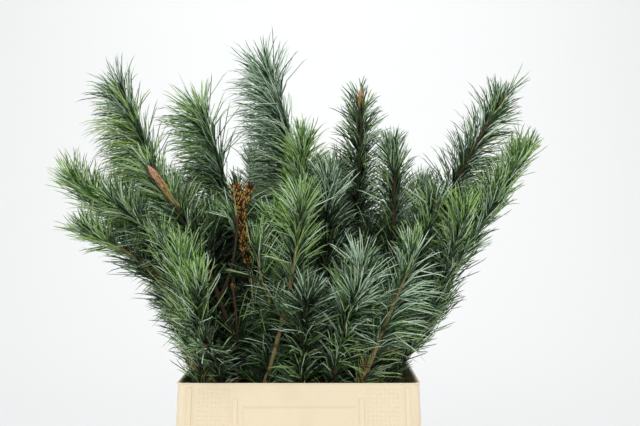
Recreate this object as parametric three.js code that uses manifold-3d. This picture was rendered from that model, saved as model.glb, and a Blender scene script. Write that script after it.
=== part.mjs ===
// Cut branches of Japanese white pine standing in a tall rectangular bucket with a loose collar.
// Millimetres, +Z up. The origin is the centre of the bucket's flat underside, X runs along its long side.
import * as THREE from "three";
import { mergeVertices } from "three/addons/utils/BufferGeometryUtils.js";
import Module from "manifold-3d";

const wasm = await Module();
wasm.setup();

// Driving dimensions of the bucket and its collar
const CLEARANCE = 0.3;
const BUCKET = { foot: [344, 244], top: [382, 282], height: 214, corner: 26, wall: 3, floor: 4 };
const LEDGE = { size: [402, 302], z: 196, thickness: 5 };
const COLLAR = { foot: [398, 298], top: [380, 280], height: 200, corner: 16, wall: 3.5 };
const RECESS = { below_rim: 33, width: 174, narrows: 14, depth: 1.2, above_foot: 18 };
const RIB = { width: 6, proud: 1.6, below_rim: 24, above_foot: 8, beside_recess: 16, from_corner: 21 };
const CORNER_STEPS = 3;
const COLLAR_Z = LEDGE.z + CLEARANCE;
const RIM_Z = COLLAR_Z + COLLAR.height;

// Driving dimensions of the cut branches
const STEM = { foot_radius: 6.5, gate_radius: 5.2, below_rim: 40, foot_pull: 0.5, bend: 0.4 };
const STEM_FACES = { sides: 6, steps: 3 };
const SHOOT = { base_radius: 4.8, core_radius: 5.6, tip_radius: 3.4, bud: 12, sides: 4 };
const SIDE = { base_radius: 3.4, core_radius: 5, tip_radius: 3, bud: 9, sides: 4 };
const SWELL = 0.15;
const RING_TURN = THREE.MathUtils.degToRad(-40);

// Side shoots: where they leave a long shoot, how they curve as shares of their length, and the room they need
const SIDE_AT = [0.16, 0.4];
const SIDE_LENGTH = 125;
const SIDE_CURVE = { across: 0.34, along: 0.26, then_across: 0.2, then_along: 0.5, then_up: 0.1 };
const SIDE_TRIES = 10;
const SIDE_ROOM = 24;
const SIDE_OUTWARDS = 0.2;
const LONGEST_WITH_NO_SIDES = 220;
const SIDE_SEED = 100;

// Needles: angles from the shoot in degrees, and shorter lengths to try where a full one has no room
const NEEDLE = { length: 68, spacing: 20, base_angle: 58, tip_angle: 42, lift: 0.4, root: 0.2 };
const SHORTER = [1, 0.75, 0.55, 0.4];
const NEEDLE_GAP = 3.5;
const NEEDLE_SEED = 500;
const CHECKED_AT = [0.3, 0.5, 0.7, 0.85, 1];
const CELL_MARGIN = 6;
const WALL_MARGIN = { side: 6, above: 4 };
const PIECE = 14;
const UP = new THREE.Vector3(0, 0, 1);

// Each cut branch: gate is where its stem passes the rim, tip is its end bud with z above the rim,
// and arch is how far it rises before it leans out (negative: it leans out first and then turns up).
// Where its needles differ, sweep is the way they are combed, and opening and reach are shares of the usual.
const BRANCHES = [
  { name: "left_out", gate: [-152, 12], tip: [-380, 10, 315], arch: 60 },
  { name: "left_low", gate: [-154, -42], tip: [-346, -50, 231], arch: 90 },
  { name: "left_mid", gate: [-116, -18], tip: [-293, -64, 277], arch: 60 },
  { name: "left_high", gate: [-118, 48], tip: [-306, 62, 466], arch: 10, sweep: [-0.5, 0, 0] },
  { name: "left_bud", gate: [-92, -62], tip: [-238, -92, 336], arch: 40 },
  { name: "brown_twig", gate: [-58, -36], tip: [-103, -58, 310], arch: 0, reach: 0.6 },
  { name: "upper_left", gate: [-72, 62], tip: [-168, 64, 430], arch: 30, sweep: [-0.45, 0, 0] },
  { name: "tall", gate: [-14, 52], tip: [-53, 52, 500], arch: 80, sweep: [-0.5, 0, 0] },
  { name: "centre_high", gate: [4, 2], tip: [5, -6, 375], arch: 0 },
  { name: "centre", gate: [38, -48], tip: [47, -66, 303], arch: 0 },
  { name: "bud_top", gate: [68, 34], tip: [103, 14, 458], arch: -20, opening: 0.75, reach: 0.7 },
  { name: "mid_right", gate: [98, -26], tip: [153, -34, 367], arch: -50, opening: 0.7 },
  { name: "right_bud", gate: [128, -74], tip: [219, -84, 277], arch: 0 },
  { name: "right_high", gate: [116, 46], tip: [345, 34, 458], arch: 20, opening: 0.85, reach: 0.85 },
  { name: "right_inner", gate: [146, 6], tip: [288, 10, 279], arch: 20 },
  { name: "right_low", gate: [156, -38], tip: [374, -14, 362], arch: 10, opening: 0.85, sweep: [-0.2, 0, 0.2] },
  { name: "front_mid", gate: [-52, -98], tip: [5, -134, 278], arch: -20 },
  { name: "front_left", gate: [-158, -92], tip: [-179, -152, 196], arch: 0 },
  { name: "front_corner", gate: [-122, -112], tip: [-140, -212, 66], arch: 40 },
  { name: "front_right", gate: [102, -106], tip: [176, -154, 194], arch: 0, sweep: [0.1, 0, 0] },
  { name: "front_spray", gate: [54, -112], tip: [86, -182, 132], arch: 20 },
  { name: "rosette", gate: [4, -110], tip: [14, -196, 128], arch: 40 },
  { name: "back_left", gate: [-130, 94], tip: [-238, 200, 300], arch: 20 },
  { name: "back_mid_left", gate: [-48, 108], tip: [-84, 188, 352], arch: 10 },
  { name: "back_mid_right", gate: [34, 106], tip: [62, 196, 332], arch: 10 },
  { name: "back_right", gate: [124, 96], tip: [226, 190, 312], arch: 20 },
  { name: "back_low_left", gate: [-88, 118], tip: [-108, 258, 142], arch: 50 },
  { name: "back_low_right", gate: [78, 118], tip: [84, 262, 132], arch: 50 },
];

// Materials
const CREAM = new THREE.MeshStandardMaterial({ color: 0xf2e3c4, roughness: 0.5, metalness: 0 });
const BARK = new THREE.MeshStandardMaterial({ color: 0x8a5c33, roughness: 0.85, metalness: 0 });
const NEEDLES = new THREE.MeshStandardMaterial({ color: 0x3f6a4a, roughness: 0.6, metalness: 0 });

// A repeatable stream of random numbers from 0 to 1
function randomFrom(seed) {
  let state = seed >>> 0;
  return () => {
    state = (state + 0x6d2b79f5) >>> 0;
    let t = state;
    t = Math.imul(t ^ (t >>> 15), t | 1);
    t ^= t + Math.imul(t ^ (t >>> 7), t | 61);
    return ((t ^ (t >>> 14)) >>> 0) / 4294967296;
  };
}

// A three.js geometry as a solid that can be joined and cut
function solidOf(geometry) {
  const bare = geometry.clone();
  bare.deleteAttribute("normal");
  bare.deleteAttribute("uv");
  const merged = mergeVertices(bare, 1e-4);
  return new wasm.Manifold(
    new wasm.Mesh({
      numProp: 3,
      vertProperties: new Float32Array(merged.attributes.position.array),
      triVerts: new Uint32Array(merged.index.array),
    }),
  );
}

// A solid as a named mesh of one material
function meshOf(name, solid, material) {
  const { vertProperties, triVerts } = solid.getMesh();
  const geometry = new THREE.BufferGeometry();
  geometry.setAttribute("position", new THREE.BufferAttribute(vertProperties, 3));
  geometry.setIndex(new THREE.BufferAttribute(triVerts, 1));
  geometry.computeVertexNormals();
  const mesh = new THREE.Mesh(geometry, material);
  mesh.name = name;
  return mesh;
}

// Moves every vertex of a geometry by a function of its position
function reshape(geometry, move) {
  const position = geometry.attributes.position;
  const point = new THREE.Vector3();
  for (let i = 0; i < position.count; i++) {
    point.fromBufferAttribute(position, i);
    move(point);
    position.setXYZ(i, point.x, point.y, point.z);
  }
  return geometry;
}

// A round limb along a curve, whose radius is a function of the share of its length, as a geometry
function limb(curve, radiusAt, sides, steps, ringTurn = 0) {
  const { normals, binormals } = curve.computeFrenetFrames(steps, false);
  return reshape(new THREE.CylinderGeometry(1, 1, 1, sides, steps), (point) => {
    const share = point.y + 0.5;
    const step = Math.round(share * steps);
    const across = normals[step].clone().multiplyScalar(point.x);
    across.addScaledVector(binormals[step], -point.z).multiplyScalar(radiusAt(share));
    across.applyAxisAngle(curve.getTangent(share), step * ringTurn);
    point.copy(curve.getPoint(share)).add(across);
  });
}

// Bucket and collar

// A rectangle with round corners, centred on the origin
function roundedRectangle([width, depth], corner) {
  const [x, y] = [width / 2 - corner, depth / 2 - corner];
  const shape = new THREE.Shape();
  shape.moveTo(-x, -y - corner);
  shape.absarc(x, -y, corner, -Math.PI / 2, 0, false);
  shape.absarc(x, y, corner, 0, Math.PI / 2, false);
  shape.absarc(-x, y, corner, Math.PI / 2, Math.PI, false);
  shape.absarc(-x, -y, corner, Math.PI, (3 * Math.PI) / 2, false);
  return shape;
}

// An upright block with that outline, from one height to another
function block(size, corner, from, to) {
  const shape = roundedRectangle(size, corner);
  const settings = { depth: to - from, bevelEnabled: false, curveSegments: CORNER_STEPS };
  return solidOf(new THREE.ExtrudeGeometry(shape, settings).translate(0, 0, from));
}

// Leans a solid's upright walls, so that an outline of size foot at its underside becomes size top
function taper(solid, foot, top, height) {
  const geometry = meshOf("tapered", solid, CREAM).geometry;
  geometry.deleteAttribute("normal");
  return solidOf(
    reshape(geometry, (point) => {
      const share = point.z / height;
      point.x *= THREE.MathUtils.lerp(1, top[0] / foot[0], share);
      point.y *= THREE.MathUtils.lerp(1, top[1] / foot[1], share);
    }),
  );
}

// An outline's size, smaller by a wall's thickness on every side
function inside([width, depth], wall) {
  return [width - 2 * wall, depth - 2 * wall];
}

// The bucket: a tapered tub with the ledge round it that carries the collar
function bucket() {
  const { foot, top, height, corner, wall, floor } = BUCKET;
  const outer = block(foot, corner, 0, height);
  const hollow = block(inside(foot, wall), corner - wall, floor, height + 1);
  const tub = taper(outer.subtract(hollow), foot, top, height);
  const share = (LEDGE.z - LEDGE.thickness) / height;
  const at = [0, 1].map((i) => THREE.MathUtils.lerp(foot[i], top[i], share) - wall);
  const slab = block(LEDGE.size, COLLAR.corner + 2, LEDGE.z - LEDGE.thickness, LEDGE.z);
  const hole = block(at, corner - wall, 0, height);
  return tub.add(slab.subtract(hole));
}

// The shallow recess in a long side of the collar, narrowing towards its foot
function recess() {
  const { below_rim, width, narrows, above_foot } = RECESS;
  const shape = new THREE.Shape();
  shape.moveTo(-width / 2 + narrows, above_foot);
  shape.lineTo(width / 2 - narrows, above_foot);
  shape.lineTo(width / 2, COLLAR.height - below_rim);
  shape.lineTo(-width / 2, COLLAR.height - below_rim);
  const cut = new THREE.ExtrudeGeometry(shape, { depth: 2 * RECESS.depth, bevelEnabled: false });
  const wallY = -COLLAR.foot[1] / 2;
  return solidOf(cut.rotateX(Math.PI / 2).translate(0, wallY + RECESS.depth, 0));
}

// An upright rib that stands out of a long side of the collar
function rib(x) {
  const { width, proud, below_rim, above_foot } = RIB;
  const height = COLLAR.height - below_rim - above_foot;
  const box = new THREE.BoxGeometry(width, 2 * proud, height);
  return solidOf(box.translate(x, -COLLAR.foot[1] / 2, above_foot + height / 2));
}

// A copy of a solid turned half round the upright axis
function halfTurn(solid) {
  return solid.rotate([0, 0, 180]);
}

// The collar: a tapered sleeve with ribs and a recess on both long sides
function collar() {
  const { foot, top, height, corner, wall } = COLLAR;
  let sleeve = block(foot, corner, 0, height);
  const ribs = [];
  for (const side of [-1, 1]) {
    ribs.push(rib(side * (RECESS.width / 2 + RIB.beside_recess)));
    ribs.push(rib(side * (foot[0] / 2 - RIB.from_corner)));
  }
  for (const one of ribs) {
    sleeve = sleeve.add(one).add(halfTurn(one));
  }
  const panel = recess();
  sleeve = sleeve.subtract(panel).subtract(halfTurn(panel));
  sleeve = sleeve.subtract(block(inside(foot, wall), corner - wall, -1, height + 1));
  return taper(sleeve, foot, top, height).translate([0, 0, COLLAR_Z]);
}

// Stems and shoots

// The curve of a branch from a little below the rim, past its gate, to its end bud
function shootCurve({ gate, tip, arch }) {
  const passed = new THREE.Vector3(gate[0], gate[1], RIM_Z);
  const end = new THREE.Vector3(tip[0], tip[1], RIM_Z + tip[2]);
  const along = end.clone().sub(passed).normalize();
  const rise = UP.clone().addScaledVector(along, -UP.dot(along)).normalize();
  const middle = passed.clone().lerp(end, 0.5).addScaledVector(rise, arch);
  const start = passed.clone().addScaledVector(middle.clone().sub(passed).normalize(), -STEM.below_rim);
  return new THREE.QuadraticBezierCurve3(start, middle, end);
}

// The curve of the bare stem in the bucket, which runs on into the shoot without a kink
function stemCurve(branch) {
  const shoot = shootCurve(branch);
  const end = shoot.getPoint(0);
  const out = shoot.getTangent(0);
  const foot = new THREE.Vector3(end.x * STEM.foot_pull, end.y * STEM.foot_pull, BUCKET.floor);
  const middle = end.clone().addScaledVector(out, -STEM.bend * (end.z - foot.z));
  const curve = new THREE.QuadraticBezierCurve3(foot, middle, end);
  const lean = curve.getTangent(0);
  foot.z += CLEARANCE + STEM.foot_radius * Math.hypot(lean.x, lean.y);
  end.addScaledVector(out, -CLEARANCE);
  return curve;
}

// A curve as straight pieces, short enough to measure distances to it
function piecesOf(curve) {
  const points = curve.getPoints(Math.ceil(curve.getLength() / PIECE));
  return points.slice(1).map((point, i) => new THREE.Line3(points[i], point));
}

// The distance from a point to the nearest of some straight pieces
function distanceTo(pieces, point) {
  const nearest = new THREE.Vector3();
  const squares = pieces.map((piece) =>
    piece.closestPointToPoint(point, true, nearest).distanceToSquared(point),
  );
  return Math.sqrt(Math.min(...squares));
}

// The distance between one straight piece and the nearest of some others
function gapBetween(piece, pieces) {
  return Math.sqrt(Math.min(Infinity, ...pieces.map((other) => piece.distanceSqToLine3(other))));
}

// The level direction away from the middle of the bucket
function outwards(point) {
  return new THREE.Vector3(point.x, point.y, 0).normalize();
}

// A side shoot that leaves a shoot at a share of its length, turned about it
function sideShoot(shoot, share, turn, length) {
  const start = shoot.getPoint(share);
  const along = shoot.getTangent(share);
  const across = outwards(start).cross(along).normalize().applyAxisAngle(along, turn);
  const middle = start.clone().addScaledVector(across, SIDE_CURVE.across * length);
  middle.addScaledVector(along, SIDE_CURVE.along * length);
  const end = middle.clone().addScaledVector(across, SIDE_CURVE.then_across * length);
  end.addScaledVector(along, SIDE_CURVE.then_along * length).addScaledVector(UP, SIDE_CURVE.then_up * length);
  return new THREE.QuadraticBezierCurve3(start, middle, end);
}

// Side shoots of a long branch: each takes the turn round the stem that leaves it the most room,
// but none grows out of the bunch
function sideShoots(shoot, others, random) {
  if (shoot.getLength() < LONGEST_WITH_NO_SIDES) return [];
  const made = [];
  for (const share of SIDE_AT) {
    const length = SIDE_LENGTH * (0.85 + 0.3 * random());
    const first = random() * 2 * Math.PI;
    const away = outwards(shoot.getPoint(share));
    let [best, room] = [null, SIDE_ROOM];
    for (let i = 0; i < SIDE_TRIES; i++) {
      const curve = sideShoot(shoot, share, first + (i * 2 * Math.PI) / SIDE_TRIES, length);
      const free = piecesOf(curve).slice(2);
      const least = Math.min(...free.map((piece) => gapBetween(piece, others)));
      const leaves = curve.v1.clone().sub(curve.v0).dot(away) > SIDE_OUTWARDS * length;
      if (least > room && !leaves) [best, room] = [curve, least];
    }
    if (!best) continue;
    made.push(best);
    others.push(...piecesOf(best));
  }
  return made;
}

// A radius that swells from a bare base to the needles' bases and thins out towards the bud
function shootRadius({ base_radius, core_radius, tip_radius }) {
  return (share) => {
    const swell = THREE.MathUtils.smoothstep(share, 0, SWELL);
    const thin = THREE.MathUtils.lerp(core_radius, tip_radius, share);
    return THREE.MathUtils.lerp(base_radius, thin, swell);
  };
}

// True where a point is inside the collar's or the bucket's walls, or too near them
function meetsContainer(point) {
  const { side, above } = WALL_MARGIN;
  const clear = (size, wall, x) => Math.abs(x) < size / 2 - wall - side;
  const within = [0, 1].every((i) => clear(COLLAR.top[i], COLLAR.wall, point.getComponent(i)));
  const outside = [0, 1].some((i) => !clear(LEDGE.size[i], -2 * side, point.getComponent(i)));
  return point.z < RIM_Z + above && !within && !outside;
}

// True where a needle stays nearer to its own branch than to any other
function keepsToItsCell(foot, tip, own, others) {
  return CHECKED_AT.every((share) => {
    const point = foot.clone().lerp(tip, share);
    return !meetsContainer(point) && distanceTo(others, point) > distanceTo(own, point) + CELL_MARGIN;
  });
}

// True where a needle would run into its own branch, or a needle that the branch already has
function crossesItsBranch(foot, tip, own, needles) {
  const free = new THREE.Line3(foot.clone().lerp(tip, NEEDLE.root), tip);
  return gapBetween(free, own) < SHOOT.core_radius || gapBetween(free, needles) < NEEDLE_GAP;
}

// The direction of a needle that stands out of a shoot at a share of its length
function needleDirection(curve, share, foot, { opening = 1, sweep = [0, 0, 0] }) {
  const along = curve.getTangent(share);
  const across = foot.clone().sub(curve.getPoint(share)).normalize();
  across.addScaledVector(UP, NEEDLE.lift).add(new THREE.Vector3(...sweep));
  across.addScaledVector(along, -across.dot(along));
  const degrees = THREE.MathUtils.lerp(NEEDLE.base_angle, NEEDLE.tip_angle, Math.pow(share, 3));
  const angle = THREE.MathUtils.degToRad(degrees * opening);
  return along.multiplyScalar(Math.cos(angle)).addScaledVector(across, Math.sin(angle)).normalize();
}

// A shoot as a solid: each face of its limb rises into a needle where there is room for one
function shoot(branch, curve, form, own, others, needles, random) {
  const steps = Math.max(3, Math.round(curve.getLength() / NEEDLE.spacing));
  const geometry = limb(curve, shootRadius(form), form.sides, steps, RING_TURN);
  const points = Array.from(geometry.attributes.position.array);
  const corner = (i) => new THREE.Vector3().fromArray(points, 3 * i);
  const faces = [];
  const index = geometry.index.array;
  const firstCap = 6 * form.sides * steps;
  for (let at = 0; at < firstCap; at += 6) {
    const [a, b, d, , c] = index.slice(at, at + 6);
    const foot = [a, b, c, d].reduce((sum, i) => sum.add(corner(i)), new THREE.Vector3()).divideScalar(4);
    const row = (at / 6) % steps;
    const share = 1 - (row + 0.5) / steps;
    const longest = NEEDLE.length * (branch.reach ?? 1) * (0.9 + 0.2 * random());
    const direction = needleDirection(curve, share, foot, branch);
    const tip = SHORTER.map((part) => foot.clone().addScaledVector(direction, part * longest)).find(
      (tried) => !crossesItsBranch(foot, tried, own, needles) && keepsToItsCell(foot, tried, own, others),
    );
    if (row < steps - 1 && tip) {
      needles.push(new THREE.Line3(foot, tip));
      const top = points.push(tip.x, tip.y, tip.z) / 3 - 1;
      faces.push(a, b, top, b, c, top, c, d, top, d, a, top);
    } else {
      faces.push(a, b, d, b, c, d);
    }
  }
  faces.push(...index.slice(firstCap));
  const covered = new THREE.BufferGeometry();
  covered.setAttribute("position", new THREE.Float32BufferAttribute(points, 3));
  covered.setIndex(faces);
  return solidOf(pointedBud(covered, curve, form.bud));
}

// Draws the middle of a shoot's end face out into a bud
function pointedBud(geometry, curve, length) {
  const end = curve.getPoint(1);
  const along = curve.getTangent(1);
  return reshape(geometry, (point) => {
    if (point.distanceTo(end) < 0.01) point.addScaledVector(along, length);
  });
}

// One branch's foliage: its shoot and side shoots, fused
function foliage(branch, sides, own, others, random) {
  const needles = [];
  const parts = [shoot(branch, shootCurve(branch), SHOOT, own, others, needles, random)];
  for (const side of sides) {
    parts.push(shoot(branch, side, SIDE, own, others, needles, random));
  }
  return wasm.Manifold.union(parts);
}

// The bare stem of a branch, from a flat cut on the bucket's floor to its first needles
function stem(branch) {
  const radius = (share) => THREE.MathUtils.lerp(STEM.foot_radius, STEM.gate_radius, share);
  return solidOf(limb(stemCurve(branch), radius, STEM_FACES.sides, STEM_FACES.steps));
}

// The whole object
const pine = new THREE.Group();
pine.add(meshOf("bucket", bucket(), CREAM));
pine.add(meshOf("collar", collar(), CREAM));

const shootPieces = BRANCHES.map((branch) => piecesOf(shootCurve(branch)));
const stemPieces = BRANCHES.map((branch) => piecesOf(stemCurve(branch)));
const sideCurves = BRANCHES.map(() => []);
const sidePieces = BRANCHES.map(() => []);
BRANCHES.forEach((branch, i) => {
  const others = [...shootPieces.filter((_, k) => k !== i), ...sidePieces].flat();
  sideCurves[i] = sideShoots(shootCurve(branch), others, randomFrom(SIDE_SEED + i));
  sidePieces[i] = sideCurves[i].flatMap(piecesOf);
});
BRANCHES.forEach((branch, i) => {
  const own = [...shootPieces[i], ...sidePieces[i]];
  const others = [...shootPieces, ...sidePieces, ...stemPieces].filter((_, k) => k % BRANCHES.length !== i);
  const needles = foliage(branch, sideCurves[i], own, others.flat(), randomFrom(NEEDLE_SEED + i));
  pine.add(meshOf("stem_" + branch.name, stem(branch), BARK));
  pine.add(meshOf("needles_" + branch.name, needles, NEEDLES));
});

export default pine;
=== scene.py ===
"""Cut branches of Japanese white pine in a cream flower bucket with a loose collar.

The branches grow by the rule of the part's source, in millimetres, and are carried on to real needles.
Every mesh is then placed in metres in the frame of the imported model. A share along a shoot is 0 at its
foot and 1 at its tip.
"""

from __future__ import annotations

import logging
import math
import sys
from collections.abc import Callable, Iterable, Iterator
from dataclasses import dataclass, field
from enum import Enum

import bmesh
import bpy
import numpy as np
from mathutils import Matrix, Vector, noise
from mathutils.kdtree import KDTree

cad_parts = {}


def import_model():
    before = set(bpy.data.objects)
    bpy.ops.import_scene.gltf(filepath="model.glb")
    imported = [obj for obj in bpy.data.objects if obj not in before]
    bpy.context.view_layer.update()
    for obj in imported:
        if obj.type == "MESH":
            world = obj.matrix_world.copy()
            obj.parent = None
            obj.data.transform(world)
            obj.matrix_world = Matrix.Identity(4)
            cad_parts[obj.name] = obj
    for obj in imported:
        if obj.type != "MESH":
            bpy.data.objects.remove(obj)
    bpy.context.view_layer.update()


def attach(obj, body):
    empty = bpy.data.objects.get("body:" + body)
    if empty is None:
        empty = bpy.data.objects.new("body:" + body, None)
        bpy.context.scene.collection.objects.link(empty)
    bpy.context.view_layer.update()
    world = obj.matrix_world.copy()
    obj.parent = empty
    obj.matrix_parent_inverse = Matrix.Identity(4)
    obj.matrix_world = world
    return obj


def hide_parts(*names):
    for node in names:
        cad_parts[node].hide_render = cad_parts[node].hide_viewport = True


LOG = logging.getLogger("pine")
MM = 0.001
UP = Vector((0.0, 0.0, 1.0))
GOLDEN_TURN = math.pi * (3.0 - math.sqrt(5.0))
FULL_TURN = 2.0 * math.pi
CAMERA_AT = (0.0336, -1.94, 0.6622)
BODY = "root"

Draw = Callable[[], float]
Piece = tuple[Vector, Vector]
Colour = tuple[float, float, float]
Sight = tuple[Vector, float, float]
RadiusAt = Callable[[float, float], float]


# Random numbers and curves, as in the part's source


def random_from(seed: int) -> Draw:
    """Make a repeatable stream of random numbers.

    Args:
        seed: The whole number that the stream starts from.

    Returns:
        A function that gives the next number from 0 to 1.
    """
    state = seed

    def draw() -> float:
        """Give the next number."""
        nonlocal state
        state = (state + 0x6D2B79F5) & 0xFFFFFFFF
        mixed = ((state ^ (state >> 15)) * (state | 1)) & 0xFFFFFFFF
        mixed ^= (mixed + (mixed ^ (mixed >> 7)) * (mixed | 61)) & 0xFFFFFFFF
        return ((mixed ^ (mixed >> 14)) & 0xFFFFFFFF) / 4294967296

    return draw


@dataclass(frozen=True)
class Spread:
    """A size that varies: the least, and the most that a draw adds to it."""

    least: float
    extra: float

    def pick(self, draw: Draw) -> float:
        """Give the size for the next draw."""
        return self.least + self.extra * draw()


@dataclass(frozen=True)
class Growth:
    """The sizes of the rule by which shoots and stems grow, in millimetres and shares."""

    rim_z: float = 396.3
    bucket_floor: float = 4.0
    clearance: float = 0.3
    piece: float = 14.0
    stem_foot_radius: float = 6.5
    stem_gate_radius: float = 5.2
    stem_below_rim: float = 40.0
    stem_foot_pull: float = 0.5
    stem_bend: float = 0.4
    side_at: tuple[float, float] = (0.16, 0.4)
    side_length: float = 125.0
    side_size: Spread = Spread(0.85, 0.3)
    side_tries: int = 10
    side_room: float = 24.0
    side_outwards: float = 0.2
    longest_with_no_sides: float = 220.0
    side_seed: int = 100


GROWTH = Growth()


@dataclass(frozen=True)
class Bow:
    """A curve from start to end that is pulled towards a middle point, in millimetres."""

    start: Vector
    middle: Vector
    end: Vector

    def point(self, share: float) -> Vector:
        """Give the point at a share of the way along."""
        rest = 1.0 - share
        return self.start * rest * rest + self.middle * 2.0 * rest * share + self.end * share * share

    def tangent(self, share: float) -> Vector:
        """Give the direction at a share of the way along."""
        slope = (self.middle - self.start) * (1.0 - share) + (self.end - self.middle) * share
        return slope.normalized()

    def points(self, count: int) -> list[Vector]:
        """Give the ends of that many even steps."""
        return [self.point(i / count) for i in range(count + 1)]

    def length(self, steps: int = 200) -> float:
        """Give the length along the curve, measured in that many steps."""
        points = self.points(steps)
        return sum((b - a).length for a, b in zip(points, points[1:]))

    def pieces(self) -> list[Piece]:
        """Give the curve as straight pieces, short enough to measure distances to it."""
        points = self.points(math.ceil(self.length() / GROWTH.piece))
        return list(zip(points, points[1:]))


def outwards(point: Vector) -> Vector:
    """Give the level direction away from the middle of the bucket."""
    return Vector((point.x, point.y, 0.0)).normalized()


def spoke(along: Vector, turn: float) -> Vector:
    """Give the direction that stands square to another one, turned about it."""
    return Matrix.Rotation(turn, 3, along) @ along.orthogonal().normalized()


def seen(point: Vector) -> Vector:
    """Give where the camera sees a point, on the upright plane through the bucket's middle.

    Args:
        point: The point in millimetres.

    Returns:
        The place across and up on that plane, in millimetres.
    """
    eye = Vector(CAMERA_AT) / MM
    flat = eye + (point - eye) * (-eye.y / (point.y - eye.y))
    return Vector((flat.x, flat.z))


def gap_between(piece: Piece, others: np.ndarray, least: float = 1e-9) -> float:
    """Measure how near one straight piece comes to the nearest of some others.

    Args:
        piece: The two ends of the piece.
        others: The ends of the other pieces, as an array of shape (count, 2, 3).
        least: The spread under which two pieces are taken as parallel.

    Returns:
        The distance in millimetres.
    """
    start, run = np.array(piece[0]), np.array(piece[1] - piece[0])
    starts, runs = others[:, 0], others[:, 1] - others[:, 0]
    apart = start - starts
    own, each = run @ run, (runs * runs).sum(1)
    along, beside, shared = apart @ run, (runs * apart).sum(1), runs @ run
    spread = own * each - shared * shared
    safe = np.where(spread > least, spread, 1.0)
    s = np.where(spread > least, np.clip((shared * beside - along * each) / safe, 0.0, 1.0), 0.0)
    t = (shared * s + beside) / each
    s = np.where(t < 0.0, np.clip(-along / own, 0.0, 1.0), s)
    s = np.where(t > 1.0, np.clip((shared - along) / own, 0.0, 1.0), s)
    t = np.clip(t, 0.0, 1.0)
    nearest = apart + s[:, None] * run - t[:, None] * runs
    return float(np.sqrt((nearest * nearest).sum(1).min()))


# The cut branches: their shoots are as in the part's source


class Tint(Enum):
    """The needles' colours in linear light: a needle's green outer face, then its pale inner faces."""

    SHADE = ((0.004, 0.010, 0.003), (0.030, 0.050, 0.024))
    DEEP = ((0.009, 0.023, 0.006), (0.082, 0.136, 0.064))
    MID = ((0.032, 0.094, 0.010), (0.290, 0.455, 0.172))
    FRESH = ((0.070, 0.185, 0.012), (0.400, 0.600, 0.195))
    YELLOW = ((0.150, 0.270, 0.020), (0.480, 0.650, 0.220))
    BLUE = ((0.024, 0.072, 0.030), (0.380, 0.540, 0.390))
    SILVER = ((0.058, 0.130, 0.065), (0.600, 0.770, 0.580))
    STRAW = ((0.470, 0.370, 0.100), (0.620, 0.520, 0.200))

    def darker(self) -> Tint:
        """Give the tint that the same needles have in the shade."""
        return DARKER.get(self, self)

    def paler(self) -> Tint:
        """Give the paler tint that stands for these needles where they catch the light: a painted highlight.
        """
        return PALER.get(self, self)


# DARKER gives each tint's shaded copy, painted shade, and PALER its lit copy, a painted highlight.
DARKER = {Tint.DEEP: Tint.SHADE, Tint.MID: Tint.DEEP, Tint.FRESH: Tint.MID, Tint.YELLOW: Tint.MID,
          Tint.BLUE: Tint.DEEP, Tint.SILVER: Tint.BLUE}
PALER = {Tint.SHADE: Tint.MID, Tint.DEEP: Tint.BLUE, Tint.MID: Tint.SILVER, Tint.FRESH: Tint.SILVER,
         Tint.BLUE: Tint.SILVER}


class BudScale(Enum):
    """The colours of the buds' scales in linear light: a scale's back, then its edge."""

    CLOSED_BUD = ((0.060, 0.028, 0.012), (0.150, 0.075, 0.030))
    BUD_FOOT = ((0.165, 0.110, 0.030), (0.360, 0.250, 0.090))
    BUD_TIP = ((0.290, 0.125, 0.070), (0.560, 0.310, 0.210))


class OldScale(Enum):
    """The colours of the brown twig's old scales in linear light: a scale's back, then its edge."""

    GOLDEN_SCALE = ((0.230, 0.110, 0.020), (0.520, 0.330, 0.095))
    RUST_SCALE = ((0.085, 0.034, 0.008), (0.300, 0.135, 0.028))
    OLD_SCALE = ((0.018, 0.010, 0.005), (0.060, 0.028, 0.012))


def place_of(kind: Enum) -> int:
    """Give the place of a kind in the list of its kinds."""
    return list(type(kind)).index(kind)


@dataclass(frozen=True)
class Branch:
    """One cut branch.

    gate is where its stem passes the rim, tip its end bud with z above the rim, arch how far it rises
    before it leans out. tints are the colours of its sprays from the tip down. sweep is the way its
    needles are combed, opening and reach are shares of the usual, curl is how closely they follow the
    shoot before they turn away, bare is the share of needles missing from its front, open_tip the length
    of its end that has none in front, and straw the share of dead ones near its foot.
    """

    name: str
    gate: tuple[float, float]
    tip: tuple[float, float, float]
    arch: float
    tints: tuple[Tint, Tint, Tint]
    sweep: tuple[float, float, float] = (0.0, 0.0, 0.0)
    opening: float = 1.0
    reach: float = 1.0
    curl: float = 1.3
    bare: float = 0.0
    open_tip: float = 0.0
    straw: float = 0.0

    def shoot(self) -> Bow:
        """Give the curve from a little below the rim, past the gate, to the end bud.

        Returns:
            The shoot's curve.
        """
        passed = Vector((*self.gate, GROWTH.rim_z))
        end = Vector((self.tip[0], self.tip[1], GROWTH.rim_z + self.tip[2]))
        along = (end - passed).normalized()
        rise = (UP - along * UP.dot(along)).normalized()
        middle = passed.lerp(end, 0.5) + rise * self.arch
        start = passed - (middle - passed).normalized() * GROWTH.stem_below_rim
        return Bow(start, middle, end)

    def stem(self) -> Bow:
        """Give the curve of the bare stem in the bucket.

        Returns:
            The stem's curve, which runs on into the shoot without a kink.
        """
        shoot = self.shoot()
        end, out = shoot.point(0.0), shoot.tangent(0.0)
        pull = GROWTH.stem_foot_pull
        foot = Vector((end.x * pull, end.y * pull, GROWTH.bucket_floor))
        middle = end - out * GROWTH.stem_bend * (end.z - foot.z)
        lean = (middle - foot).normalized()
        foot.z += GROWTH.clearance + GROWTH.stem_foot_radius * math.hypot(lean.x, lean.y)
        return Bow(foot, middle, end - out * GROWTH.clearance)


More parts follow.
